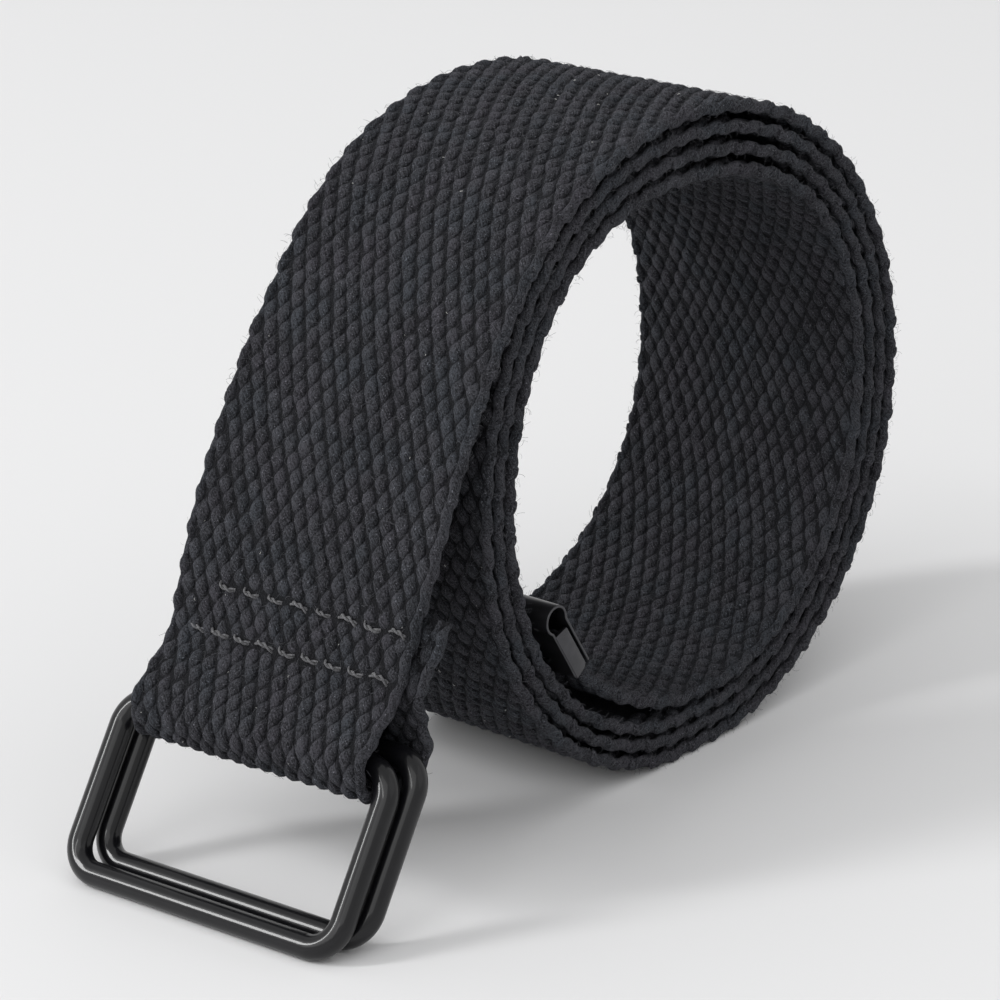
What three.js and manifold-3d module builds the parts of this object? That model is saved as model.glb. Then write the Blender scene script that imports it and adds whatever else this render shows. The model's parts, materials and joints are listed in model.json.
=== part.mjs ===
// Double ring belt: one length of black cotton webbing, rolled up and standing on its round
// outside. The outer end runs off the roll as a tail, passes round the bars of two rectangular
// wire rings, folds back behind itself and is sewn. The inner end wears a folded sheet metal tip.
//
// Millimetres, +Z up. The roll's axis is Y, the tail and the rings reach out towards -X, and the
// face of the roll that shows in front is at -Y. The origin is under the middle of the whole belt.

import * as THREE from "three";
import Module from "manifold-3d";

const wasm = await Module();
wasm.setup();

// Webbing
const strap_width = 38;
const strap_thickness = 1.9;
const selvedge_round = 0.55;

// Roll
const coil_radius = 45;
const turns_at_top = 4;
const station_step = 6;
const foot_sag = 0.4;
const tail_leaves_at = 140;
const inner_end_at = -158;

// How the roll differs from a true spiral, at every eighth of a turn from +X, upwards first.
// Radius: share of coil_radius. Slack: air between two turns, as a share of strap_thickness.
const roll_shape = [
  { radius: 0.980, slack: 0.34 },
  { radius: 0.984, slack: 0.32 },
  { radius: 0.996, slack: 0.44 },
  { radius: 1.047, slack: 0.17 },
  { radius: 1.033, slack: 0.17 },
  { radius: 1.027, slack: 0.22 },
  { radius: 0.996, slack: 0.25 },
  { radius: 0.991, slack: 0.29 },
];

// Inner end, which springs a little off the turn outside it
const end_lift = 1.7;
const end_lift_from = -80;
const end_lift_over = 45;

// Tail
const tail_reach = 28.4;
const tail_ease = 0.34;
const tail_lean_at_stitches = 21;
const tail_drift = 2.8;
const tail_twist = 3.4;
const twist_done_at = 0.6;
const fold_back_length = 10.5;
const fold_back_slip = 3;
const sewn_gap = 0.3;

// How much of the fold-back's slip is left at the stitches and at the bars
const slip_at_stitches = 0.5;
const slip_at_bars = 0.1;

// Rings
const ring_side_room = 0.4;
const ring_inner_height = 19.5;
const ring_wire = 3.2;
const ring_corner = 4;
const ring_lean = 33.6;
const bar_gap = 1;
const ring_stagger = 0.8;
const wire_sides = 12;
const corner_steps = 6;

// Loop of webbing round the two bars
const loop_rise = 8;
const loop_reach = 3.4;
const loop_gather = 1.6;
const loop_clearance = 1.1;
const loop_narrows_over = 16;

// Metal tip
const tip_length = 12;
const tip_sheet = 0.5;
const tip_clearance = 0.3;
const tip_bulge = 4.2;

const rad = THREE.MathUtils.degToRad;
const wire_radius = ring_wire / 2;
const half_thickness = strap_thickness / 2;

// Swept solids

// A station is a place on the way of a swept piece: its centre, and the two directions across it.
// The section is a list of [across, out] pairs, carried from station to station and closed off.
function sweep(stations, section, closed) {
  const positions = [];
  for (const station of stations) {
    for (const [across, out] of section(station)) {
      const point = station.centre.clone();
      point.addScaledVector(station.across, across).addScaledVector(station.out, out);
      positions.push(point.x, point.y, point.z);
    }
  }
  const count = positions.length / 3 / stations.length;
  const indices = [];
  const spans = closed ? stations.length : stations.length - 1;
  for (let i = 0; i < spans; i += 1) {
    const here = i * count;
    const next = ((i + 1) % stations.length) * count;
    for (let j = 0; j < count; j += 1) {
      const k = (j + 1) % count;
      indices.push(here + j, next + j, next + k, here + j, next + k, here + k);
    }
  }
  if (!closed) {
    const last = (stations.length - 1) * count;
    for (let j = 1; j < count - 1; j += 1) {
      indices.push(0, j, j + 1, last, last + j + 1, last + j);
    }
  }
  return outward(positions, indices);
}

// Turns every face round if the solid came out with a negative volume.
function outward(positions, indices) {
  const [a, b, c] = [new THREE.Vector3(), new THREE.Vector3(), new THREE.Vector3()];
  let volume = 0;
  for (let i = 0; i < indices.length; i += 3) {
    a.fromArray(positions, indices[i] * 3);
    b.fromArray(positions, indices[i + 1] * 3);
    c.fromArray(positions, indices[i + 2] * 3);
    volume += a.dot(b.cross(c)) / 6;
  }
  if (volume < 0) indices.reverse();
  const geometry = new THREE.BufferGeometry();
  geometry.setAttribute("position", new THREE.Float32BufferAttribute(positions, 3));
  geometry.setIndex(indices);
  geometry.computeVertexNormals();
  return geometry;
}

// Roll

const roll_knots = roll_shape.map((row) => new THREE.Vector3(coil_radius * row.radius, 1 + row.slack, 0));
const roll_curve = new THREE.CatmullRomCurve3(roll_knots, true, "catmullrom", 0.5);

// The middle of the webbing at an angle that runs on below -180 as the turns go inwards.
function rollPoint(angle) {
  const row = roll_curve.getPoint(THREE.MathUtils.euclideanModulo(angle, 360) / 360);
  const turn = (180 - angle) / 360;
  const last_lap = angle + 360 * (turns_at_top - 1);
  const lift = end_lift * THREE.MathUtils.smoothstep(end_lift_from - last_lap, 0, end_lift_over);
  const radius = row.x - strap_thickness * row.y * turn - lift;
  return new THREE.Vector2(radius * Math.cos(rad(angle)), radius * Math.sin(rad(angle)));
}

const foot_angle = -90;
const axis_height = half_thickness - rollPoint(foot_angle).y - foot_sag;

// Where the roll stands, all its turns are pressed flat by the same small amount.
function rollStation(angle) {
  const point = rollPoint(angle);
  const turn = Math.floor((180 - angle) / 360);
  const floor = rollPoint(foot_angle - 360 * turn).y + foot_sag;
  point.y = axis_height + Math.max(point.y, floor);
  return point;
}

function rollRoute() {
  const end_angle = inner_end_at - 360 * (turns_at_top - 1);
  const tip_turn = THREE.MathUtils.radToDeg(tip_length / rollPoint(end_angle).length());
  const last_angle = end_angle + tip_turn + station_step / 2;
  const first_angle = tail_leaves_at - tail_leaves_at % station_step;
  const route = [];
  for (let angle = first_angle; angle > last_angle; angle -= station_step) {
    route.push(rollStation(angle));
  }
  return { route, mouth: rollStation(end_angle + tip_turn), end: rollStation(end_angle) };
}

// Tail and loop

// The rings lean side by side with their lower bars on the floor, so both upper bars, which the
// loop holds, are at one height. The lower row of stitches is above them.
const ring_drop = ring_inner_height + ring_wire;
const bar_height = wire_radius + ring_drop * Math.cos(rad(ring_lean));
const tail_start = rollStation(tail_leaves_at);
const stitch_line = new THREE.Vector2(tail_start.x - tail_reach, bar_height + loop_rise);
const front_bar = new THREE.Vector2(stitch_line.x - loop_reach, bar_height);
const back_bar = new THREE.Vector2(front_bar.x + ring_wire + bar_gap, bar_height);
const wrap_radius = wire_radius + loop_clearance + half_thickness;
const tail_slope = rad(tail_lean_at_stitches);
const tail_down = new THREE.Vector2(-Math.sin(tail_slope), -Math.cos(tail_slope));

function tailCurve() {
  const before = rollStation(tail_leaves_at - 1);
  const leaving = tail_start.clone().sub(before).normalize();
  const handle = tail_ease * tail_start.distanceTo(stitch_line);
  return new THREE.CubicBezierCurve(
    tail_start,
    tail_start.clone().addScaledVector(leaving, handle),
    stitch_line.clone().addScaledVector(tail_down, -handle),
    stitch_line);
}

// Where a line from a point touches the circle round a bar. Side 1 passes the bar on its left as
// seen going towards it, side -1 on its right.
function touch(point, bar, side) {
  const gap = bar.clone().sub(point);
  const turn = Math.asin(wrap_radius / gap.length()) * side;
  const reach = Math.sqrt(gap.lengthSq() - wrap_radius ** 2);
  return gap.normalize().rotateAround(new THREE.Vector2(), turn).multiplyScalar(reach).add(point);
}

function wrap(bar, from, to, steps) {
  const start = from.clone().sub(bar).angle();
  const turn = THREE.MathUtils.euclideanModulo(start - to.clone().sub(bar).angle(), 2 * Math.PI);
  return Array.from({ length: steps + 1 }, (_, i) => {
    const angle = start - turn * i / steps;
    return new THREE.Vector2(bar.x + wrap_radius * Math.cos(angle), bar.y + wrap_radius * Math.sin(angle));
  });
}

// Rear layer of the sewn end, the turn round both bars, and the front layer up to the roll, with
// each point's share of the way from the roll (0) to the bars (1) and its slip towards the front.
function tailRoute() {
  const curve = tailCurve();
  const length = curve.getLength();
  const inward = new THREE.Vector2(-tail_down.y, tail_down.x);
  const layer = strap_thickness + sewn_gap;
  const rear = [];
  for (const part of [1, 0.66, 0.33, 0]) {
    const along = 1 - part * fold_back_length / length;
    const slope = curve.getTangentAt(along);
    const point = curve.getPointAt(along).add(new THREE.Vector2(-slope.y, slope.x).multiplyScalar(layer));
    const slip = fold_back_slip * THREE.MathUtils.lerp(slip_at_stitches, 1, part);
    rear.push({ point, share: along, slip });
  }
  const rear_stitch = stitch_line.clone().addScaledVector(inward, layer);
  const rear_touch = touch(rear_stitch, back_bar, 1);
  const front_touch = touch(stitch_line, front_bar, -1);
  const below = (bar) => new THREE.Vector2(bar.x, bar.y - wrap_radius);
  const round_back = wrap(back_bar, rear_touch, below(back_bar), 6);
  const round_front = wrap(front_bar, below(front_bar), front_touch, 8);
  const round = [...round_back, ...round_front];
  const bar_slip = fold_back_slip * slip_at_bars;
  const loop = round.map((point, i) => ({ point, share: 1, slip: bar_slip * (1 - i / round.length) }));
  const front = [];
  for (let part = 1; part > 0.04; part -= 1 / 18) {
    front.push({ point: curve.getPointAt(part), share: part, slip: 0 });
  }
  return [...rear, ...loop, ...front];
}

// Webbing

const loop_width = strap_width - loop_gather;

function strapWidth(to_bars) {
  const narrowed = THREE.MathUtils.smoothstep(-to_bars, -loop_narrows_over, 0);
  return THREE.MathUtils.lerp(strap_width, loop_width, narrowed);
}

const tail_length = tailCurve().getLength();
const loop_centre_y = -tail_drift;

function strapStations() {
  const { route, mouth, end } = rollRoute();
  const strap_end = mouth.clone().lerp(end, 1 - (tip_bulge + tip_clearance) / tip_length);
  const tail = tailRoute();
  const roll = [...route, mouth, strap_end].map((point) => ({ point, share: 0, slip: 0 }));
  const way = [...tail, ...roll];
  return way.map((place, i) => {
    const before = way[Math.max(i - 1, 0)].point;
    const after = way[Math.min(i + 1, way.length - 1)].point;
    const along = after.clone().sub(before).normalize();
    const eased = THREE.MathUtils.smoothstep(place.share, 0, 1);
    const turn = rad(tail_twist) * THREE.MathUtils.smoothstep(place.share, 0, twist_done_at);
    return {
      centre: new THREE.Vector3(place.point.x, loop_centre_y * eased - place.slip, place.point.y),
      across: new THREE.Vector3(-Math.sin(turn), Math.cos(turn), 0),
      out: new THREE.Vector3(-along.y * Math.cos(turn), -along.y * Math.sin(turn), along.x),
      width: strapWidth((1 - place.share) * tail_length),
    };
  });
}

function strapSection(station) {
  const side = station.width / 2;
  const t = half_thickness;
  const r = selvedge_round;
  return [
    [side, t - r], [side - r, t], [-side + r, t], [-side, t - r],
    [-side, -t + r], [-side + r, -t], [side - r, -t], [side, -t + r],
  ];
}

// Rings

const ring_inner_width = strap_width + ring_side_room;

// A rectangle of round wire with round corners. Its upper bar lies on the local Y axis.
function ringGeometry() {
  const half_width = (ring_inner_width + ring_wire) / 2;
  const corners = [
    { y: half_width - ring_corner, z: -ring_corner, from: 0 },
    { y: -half_width + ring_corner, z: -ring_corner, from: 90 },
    { y: -half_width + ring_corner, z: -ring_drop + ring_corner, from: 180 },
    { y: half_width - ring_corner, z: -ring_drop + ring_corner, from: 270 },
  ];
  const stations = [];
  for (const corner of corners) {
    for (let i = 0; i <= corner_steps; i += 1) {
      const angle = rad(corner.from + 90 * i / corner_steps);
      const out = new THREE.Vector3(0, Math.cos(angle), Math.sin(angle));
      stations.push({
        centre: new THREE.Vector3(0, corner.y, corner.z).addScaledVector(out, ring_corner),
        across: new THREE.Vector3(1, 0, 0),
        out,
      });
    }
  }
  const section = () => Array.from({ length: wire_sides }, (_, i) => {
    const angle = 2 * Math.PI * i / wire_sides;
    return [wire_radius * Math.cos(angle), wire_radius * Math.sin(angle)];
  });
  return sweep(stations, section, true);
}

function ring(name, bar, stagger, material) {
  const mesh = new THREE.Mesh(ringGeometry(), material);
  mesh.name = name;
  mesh.rotation.set(0, rad(ring_lean), rad(tail_twist), "ZYX");
  const along = new THREE.Vector3(-Math.sin(rad(tail_twist)), Math.cos(rad(tail_twist)), 0);
  mesh.position.set(bar.x, loop_centre_y, bar.y).addScaledVector(along, stagger);
  return mesh;
}

// Metal tip

function toManifold(geometry) {
  const bare = geometry.index ? geometry.toNonIndexed() : geometry;
  const positions = bare.getAttribute("position");
  const found = new Map();
  const vertProperties = [];
  const triVerts = [];
  for (let i = 0; i < positions.count; i += 1) {
    const point = [positions.getX(i), positions.getY(i), positions.getZ(i)];
    const key = point.map((value) => Math.round(value * 1e4)).join(" ");
    if (!found.has(key)) {
      found.set(key, vertProperties.length / 3);
      vertProperties.push(...point);
    }
    triVerts.push(found.get(key));
  }
  return new wasm.Manifold(new wasm.Mesh({
    numProp: 3,
    vertProperties: new Float32Array(vertProperties),
    triVerts: new Uint32Array(triVerts),
  }));
}

function fromManifold(solid) {
  const mesh = solid.getMesh();
  const geometry = new THREE.BufferGeometry();
  geometry.setAttribute("position", new THREE.Float32BufferAttribute(mesh.vertProperties, 3));
  geometry.setIndex(new THREE.Uint32BufferAttribute(mesh.triVerts, 1));
  geometry.computeVertexNormals();
  return geometry;
}

// An outline in the strap's side view, drawn along X and out Z, made as wide as asked along Y.
function slab(shape, width) {
  const options = { depth: width, bevelEnabled: false, curveSegments: 8 };
  const geometry = new THREE.ExtrudeGeometry(shape, options);
  geometry.rotateX(Math.PI / 2);
  geometry.translate(0, width / 2, 0);
  return toManifold(geometry);
}

// A flat sleeve that ends in a round bulge, drawn from its mouth at x = 0.
function sleeveOutline(from, to, half_height, radius) {
  const join = to - radius - Math.sqrt(radius ** 2 - half_height ** 2);
  const angle = Math.asin(half_height / radius);
  const shape = new THREE.Shape();
  shape.moveTo(from, -half_height);
  shape.lineTo(join, -half_height);
  shape.absarc(to - radius, 0, radius, -Math.PI + angle, Math.PI - angle, false);
  shape.lineTo(from, half_height);
  shape.closePath();
  return shape;
}

function tipGeometry() {
  const pocket_half = half_thickness + tip_clearance;
  const outer_half = pocket_half + tip_sheet;
  const pocket_width = strap_width + 2 * tip_clearance;
  const outer_width = pocket_width + 2 * tip_sheet;
  const body = slab(sleeveOutline(0, tip_length, outer_half, tip_bulge / 2), outer_width);
  const eye_radius = tip_bulge / 2 - tip_sheet;
  const pocket_outline = sleeveOutline(-tip_sheet, tip_length - tip_sheet, pocket_half, eye_radius);
  const pocket = slab(pocket_outline, pocket_width);
  const eye = new THREE.Shape().absarc(tip_length - tip_bulge / 2, 0, eye_radius, 0, 2 * Math.PI, false);
  return fromManifold(body.subtract(pocket).subtract(slab(eye, outer_width + 2 * tip_sheet)));
}

function tip(material) {
  const { mouth, end } = rollRoute();
  const mesh = new THREE.Mesh(tipGeometry(), material);
  mesh.name = "belt_tip";
  const along = end.clone().sub(mouth);
  mesh.position.set(mouth.x, 0, mouth.y);
  mesh.rotation.y = -Math.atan2(along.y, along.x);
  return mesh;
}

// Whole belt

const cotton = new THREE.MeshStandardMaterial({ color: 0x1b1b1d, roughness: 0.95, metalness: 0 });
const coated_wire = new THREE.MeshStandardMaterial({ color: 0x101012, roughness: 0.28, metalness: 0.5 });
const coated_sheet = new THREE.MeshStandardMaterial({ color: 0x1a1b1d, roughness: 0.35, metalness: 0.6 });

const strap = new THREE.Mesh(sweep(strapStations(), strapSection, false), cotton);
strap.name = "strap";

const belt = new THREE.Group();
belt.add(strap);
belt.add(ring("front_ring", front_bar, ring_stagger / 2, coated_wire));
belt.add(ring("back_ring", back_bar, -ring_stagger / 2, coated_wire));
belt.add(tip(coated_sheet));

belt.updateMatrixWorld(true);
const extent = new THREE.Box3().setFromObject(belt, true);
belt.position.set(-(extent.min.x + extent.max.x) / 2, -(extent.min.y + extent.max.y) / 2, -extent.min.z);

export default belt;
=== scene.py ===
# %% [markdown]
# # A double ring belt, rolled up
#
# The real thing is one length of coarse black cotton webbing, 38 mm wide. It is rolled up and
# stands on its round outside. One end is folded round two wire rings and sewn, and the other wears
# a folded metal tip. The CAD model gives the sizes and places. This script weaves the webbing yarn
# by yarn along the CAD strap's own route, bends the wire and the sheet smoothly, sews the stitches
# and sets up the light and the camera.

# %% Load the frame
import json
import math

import bmesh
import bpy
import numpy as np
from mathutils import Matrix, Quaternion, Vector


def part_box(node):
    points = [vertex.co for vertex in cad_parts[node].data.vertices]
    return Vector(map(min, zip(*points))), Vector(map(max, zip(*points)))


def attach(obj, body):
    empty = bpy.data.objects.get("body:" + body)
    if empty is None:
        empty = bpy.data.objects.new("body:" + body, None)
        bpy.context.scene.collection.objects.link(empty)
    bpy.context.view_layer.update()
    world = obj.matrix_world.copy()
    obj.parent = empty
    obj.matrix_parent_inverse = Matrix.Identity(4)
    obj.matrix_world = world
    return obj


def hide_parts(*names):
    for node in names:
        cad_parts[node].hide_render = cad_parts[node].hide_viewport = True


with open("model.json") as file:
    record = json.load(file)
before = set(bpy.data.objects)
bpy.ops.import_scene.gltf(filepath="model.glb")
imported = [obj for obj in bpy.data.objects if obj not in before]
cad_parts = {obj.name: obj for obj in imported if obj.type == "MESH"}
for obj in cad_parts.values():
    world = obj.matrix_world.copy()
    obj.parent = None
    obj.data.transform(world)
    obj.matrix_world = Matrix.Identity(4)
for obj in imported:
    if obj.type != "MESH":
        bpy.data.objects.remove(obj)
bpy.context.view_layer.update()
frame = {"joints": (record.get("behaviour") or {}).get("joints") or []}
joints = {joint["name"]: joint for joint in frame["joints"]}

# %% [markdown]
# ## Sizes
#
# These are the driving sizes of the belt in metres. The webbing's route is worked out from them in
# the same way as in the CAD model, so that the woven strap lies exactly where the solid one does.

# %% Sizes of the belt
MM = 0.001
strap_width = 38 * MM
strap_thickness = 1.9 * MM

coil_radius = 45 * MM
turns_at_top = 4
foot_sag = 0.4 * MM
tail_leaves_at = 140
inner_end_at = -158
roll_radius = [0.980, 0.984, 0.996, 1.047, 1.033, 1.027, 0.996, 0.991]
roll_slack = [0.34, 0.32, 0.44, 0.17, 0.17, 0.22, 0.25, 0.29]
end_lift = 1.7 * MM
end_lift_from = -80
end_lift_over = 45

tail_reach = 28.4 * MM
tail_ease = 0.34
tail_lean = math.radians(21)
tail_drift = 2.8 * MM
tail_twist = math.radians(3.4)
twist_done_at = 0.6
fold_back_length = 10.5 * MM
fold_back_slip = 3 * MM
slip_at_stitches = 0.5
sewn_gap = 0.3 * MM

ring_inner_width = 38.4 * MM
ring_inner_height = 19.5 * MM
ring_wire = 3.2 * MM
ring_corner = 4 * MM
ring_lean = math.radians(33.6)
bar_gap = 1 * MM
ring_stagger = 0.8 * MM
loop_rise = 8 * MM
loop_reach = 3.4 * MM
loop_gather = 1.6 * MM
loop_clearance = 1.1 * MM
loop_narrows_over = 16 * MM

tip_length = 12 * MM
tip_sheet = 0.5 * MM
tip_clearance = 0.3 * MM
tip_bulge = 4.2 * MM

# %% [markdown]
# ## The route of the webbing
#
# A roll of webbing is a spiral seen from the side, and all its places can be given as points in
# that side view. `roll_point` is the middle of the webbing at an angle that runs on as the turns
# go inwards. A closed smooth curve through eight measured values makes the turns bulge and
# close up as the real ones do, because a perfect spiral looks like a drawing.

# %% The roll
half_thickness = strap_thickness / 2


def smoothstep(value, low, high):
    share = np.clip((value - low) / (high - low), 0, 1)
    return share * share * (3 - 2 * share)


def round_curve(values, angle):
    """The closed smooth curve through values that stand an equal angle apart."""
    values = np.asarray(values)
    place = np.mod(angle, 360) / 360 * len(values)
    knot = np.floor(place).astype(int)
    part = place - knot
    a, b, c, d = (values[(knot + step) % len(values)] for step in (-1, 0, 1, 2))
    slope_b = (c - a) / 2
    slope_c = (d - b) / 2
    square = -3 * b + 3 * c - 2 * slope_b - slope_c
    cube = 2 * b - 2 * c + slope_b + slope_c
    return b + part * (slope_b + part * (square + part * cube))


def roll_point(angle):
    angle = np.asarray(angle, float)
    turn = (180 - angle) / 360
    last_lap = angle + 360 * (turns_at_top - 1)
    lift = end_lift * smoothstep(end_lift_from - last_lap, 0, end_lift_over)
    pitch = strap_thickness * (1 + round_curve(roll_slack, angle))
    radius = coil_radius * round_curve(roll_radius, angle) - pitch * turn - lift
    return np.stack([radius * np.cos(np.radians(angle)), radius * np.sin(np.radians(angle))], -1)


foot_angle = -90
axis_height = half_thickness - roll_point(foot_angle)[1] - foot_sag


def roll_station(angle):
    """The roll stands on its foot, where every turn is pressed a little flat."""
    point = roll_point(angle)
    turn = np.floor((180 - np.asarray(angle, float)) / 360)
    floor = roll_point(foot_angle - 360 * turn)[..., 1] + foot_sag
    point[..., 1] = axis_height + np.maximum(point[..., 1], floor)
    return point


# %% [markdown]
# ## The tail and the loop
#
# The tail leaves the roll along its tangent and comes down to the stitches as a cubic curve. Below
# the stitches the webbing goes round both ring bars and up again behind itself. Straight stretches
# that touch the circles round the bars, and arcs round them, give the loop.

# %% The tail, the loop and the folded end
wire_radius = ring_wire / 2
ring_drop = ring_inner_height + ring_wire
bar_height = wire_radius + ring_drop * math.cos(ring_lean)
tail_start = roll_station(tail_leaves_at)
stitch_line = np.array([tail_start[0] - tail_reach, bar_height + loop_rise])
front_bar = np.array([stitch_line[0] - loop_reach, bar_height])
back_bar = front_bar + [ring_wire + bar_gap, 0]
wrap_radius = wire_radius + loop_clearance + half_thickness
tail_down = np.array([-math.sin(tail_lean), -math.cos(tail_lean)])


def tail_curve(steps=400):
    """Points of the tail from the roll to the stitches, evenly spaced, and its length."""
    leaving = tail_start - roll_station(tail_leaves_at - 1)
    leaving /= np.linalg.norm(leaving)
    handle = tail_ease * np.linalg.norm(stitch_line - tail_start)
    knots = [tail_start, tail_start + leaving * handle, stitch_line - tail_down * handle, stitch_line]
    t = np.linspace(0, 1, steps)[:, None]
    weights = [(1 - t) ** 3, 3 * t * (1 - t) ** 2, 3 * t ** 2 * (1 - t), t ** 3]
    points = sum(weight * knot for weight, knot in zip(weights, knots))
    travel = np.r_[0, np.cumsum(np.linalg.norm(np.diff(points, axis=0), axis=1))]
    even = np.linspace(0, travel[-1], steps)
    return np.stack([np.interp(even, travel, points[:, k]) for k in (0, 1)], -1), travel[-1]


def touch(point, bar, side):
    """Where a straight stretch from a point meets the circle round a bar."""
    gap = bar - point
    distance = np.linalg.norm(gap)
    turn = math.asin(wrap_radius / distance) * side
    reach = math.sqrt(distance ** 2 - wrap_radius ** 2)
    x, z = gap / distance
    cosine, sine = math.cos(turn), math.sin(turn)
    return point + np.array([x * cosine - z * sine, x * sine + z * cosine]) * reach


def wrap(bar, start, end, steps=24):
    first = math.atan2(*(start - bar)[::-1])
    turn = (first - math.atan2(*(end - bar)[::-1])) % (2 * math.pi)
    angle = first - turn * np.linspace(0, 1, steps)
    return bar + wrap_radius * np.stack([np.cos(angle), np.sin(angle)], -1)


def straight(start, end, steps=12):
    return start + (end - start) * np.linspace(0, 1, steps, endpoint=False)[:, None]


def webbing_route():
    """Rows of x, z, share of the way to the bars and slip towards the front, end to end."""
    tail, length = tail_curve()
    slope = np.gradient(tail, axis=0)
    slope /= np.linalg.norm(slope, axis=1)[:, None]
    layer = strap_thickness + sewn_gap
    along = np.linspace(0, 1, len(tail))
    folded = tail + np.stack([-slope[:, 1], slope[:, 0]], -1) * layer
    is_folded = along >= 1 - fold_back_length / length
    share = along[is_folded]
    part = (1 - share) * length / fold_back_length
    slip = fold_back_slip * (slip_at_stitches + (1 - slip_at_stitches) * part)
    rear = np.c_[folded[is_folded], share, slip]

    inward = np.array([-tail_down[1], tail_down[0]])
    rear_stitch = stitch_line + inward * layer
    rear_touch = touch(rear_stitch, back_bar, 1)
    front_touch = touch(stitch_line, front_bar, -1)
    below = np.array([0, -wrap_radius])
    round_bars = np.r_[
        straight(rear_stitch, rear_touch),
        wrap(back_bar, rear_touch, back_bar + below),
        wrap(front_bar, front_bar + below, front_touch),
        straight(front_touch, stitch_line),
    ]
    ease = np.clip(1 - np.linspace(0, 1.3, len(round_bars)), 0, 1)
    slip = fold_back_slip * slip_at_stitches * ease ** 2
    loop = np.c_[round_bars, np.ones(len(round_bars)), slip]

    front = np.c_[tail[::-1], along[::-1], np.zeros(len(tail))]
    end_angle = inner_end_at - 360 * (turns_at_top - 1)
    end_radius = np.linalg.norm(roll_point(end_angle))
    mouth_angle = end_angle + math.degrees(tip_length / end_radius)
    turns = roll_station(np.arange(tail_leaves_at - 0.5, mouth_angle, -0.5))
    mouth = roll_station(mouth_angle)
    end = roll_station(end_angle)
    inside_tip = straight(mouth, mouth + (end - mouth) * (1 - (tip_bulge + tip_clearance) / tip_length))
    roll = np.r_[turns, inside_tip]
    roll = np.c_[roll, np.zeros((len(roll), 2))]
    return np.r_[rear, loop, front, roll], mouth, end, length


# %% [markdown]
# The CAD model stands centred over its own box. The first joint lies on the front ring's bar, whose
# place in the side view is known, so the difference between the two is the shift of the whole belt.
# Across the belt, each ring stands half the stagger between them to its own side of the tail's line.

# %% Place the route in the frame
bar_in_frame = Vector(joints["front_ring_swing"]["pos_m"])
side_shift = bar_in_frame.x - front_bar[0]
front_ring_y = (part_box("front_ring")[0].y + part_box("front_ring")[1].y) / 2
depth_shift = front_ring_y + tail_drift - ring_stagger / 2

pick = 2.22 * MM
rings_per_pick = 5
weave_step = pick / rings_per_pick


def soften(values, points):
    """A short moving average that takes the corners out of the route, as real cloth does."""
    kernel = np.hanning(2 * points + 1)
    kernel /= kernel.sum()
    padded = np.r_[np.repeat(values[:1], points, 0), values, np.repeat(values[-1:], points, 0)]
    return np.stack([np.convolve(padded[:, k], kernel, "valid") for k in range(values.shape[1])], -1)


def lay_route():
    rows, mouth, end, tail_length = webbing_route()
    gaps = np.linalg.norm(np.diff(rows[:, :2], axis=0), axis=1)
    rows = rows[np.r_[True, gaps > 1e-7]]
    travel = np.r_[0, np.cumsum(np.linalg.norm(np.diff(rows[:, :2], axis=0), axis=1))]
    count = int(round(travel[-1] / weave_step)) + 1
    even = np.linspace(0, travel[-1], count)
    rows = np.stack([np.interp(even, travel, rows[:, k]) for k in range(4)], -1)
    rows = soften(rows, 3)
    along = np.gradient(rows[:, :2], axis=0)
    along /= np.linalg.norm(along, axis=1)[:, None]
    share, slip = rows[:, 2], rows[:, 3]
    turn = tail_twist * smoothstep(share, 0, twist_done_at)
    centre = np.stack([
        rows[:, 0] + side_shift,
        -tail_drift * smoothstep(share, 0, 1) - slip + depth_shift,
        rows[:, 1],
    ], -1)
    across = np.stack([-np.sin(turn), np.cos(turn), 0 * turn], -1)
    outward = np.stack([-along[:, 1] * np.cos(turn), -along[:, 1] * np.sin(turn), along[:, 0]], -1)
    narrowed = smoothstep(-(1 - share) * tail_length, -loop_narrows_over, 0)
    width = strap_width - loop_gather * narrowed
    shift = np.array([side_shift, 0])
    return centre, across, outward, width, even, share, mouth + shift, end + shift


centre, across, outward, width, travel, share, tip_mouth, tip_end = lay_route()
strap_length = travel[-1]
print(f"webbing {strap_length * 1000:.0f} mm long, {strap_length / pick:.0f} picks")

# %% [markdown]
# ## Camera
#
# The camera stands where the photograph was taken from, at the height of a small product shot, with
# a long lens. It comes first, so that every later step can be judged through it.

# %% Camera


def put(name, data):
    """A new object in the scene."""
    thing = bpy.data.objects.new(name, data)
    bpy.context.scene.collection.objects.link(thing)
    return thing


def direction(azimuth, elevation):
    """From the belt towards a viewer or a lamp. Azimuth 0 is straight in front, at -Y."""
    level = math.cos(elevation)
    return Vector((math.sin(azimuth) * level, -math.cos(azimuth) * level, math.sin(elevation)))


view_roll = math.radians(-0.376)
view_distance = 512 * MM
view_target = Vector((-2.508 * MM + side_shift, 14.243 * MM + depth_shift, 28.462 * MM))
view_back = direction(math.radians(-50.08), math.radians(20.02))

camera_data = bpy.data.cameras.new("camera")
camera_data.sensor_width = 36
camera_data.lens = 135.1
camera_data.clip_start = 0.01
camera = put("camera", camera_data)
camera.rotation_mode = "QUATERNION"
camera.location = view_target + view_back * view_distance
camera.rotation_quaternion = (-view_back).to_track_quat("-Z", "Y") @ Quaternion((0, 0, 1), view_roll)
bpy.context.scene.camera = camera

# %% [markdown]
# ## Small helpers for node trees
#
# Both Geometry Nodes and materials are trees of nodes. `add` makes one node, fills its sockets with
# numbers or links, and hands it back. `sums` gives the four operations that most sums need, so that
# a sum reads as one line.

# %% Node helpers


def fill(tree, socket, value):
    if isinstance(value, bpy.types.NodeSocket):
        tree.links.new(value, socket)
    else:
        socket.default_value = value


def live(sockets, name):
    """The socket of that name that is in use, on a node that has one for each kind of data."""
    return next(socket for socket in sockets if socket.enabled and socket.name == name)


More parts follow.
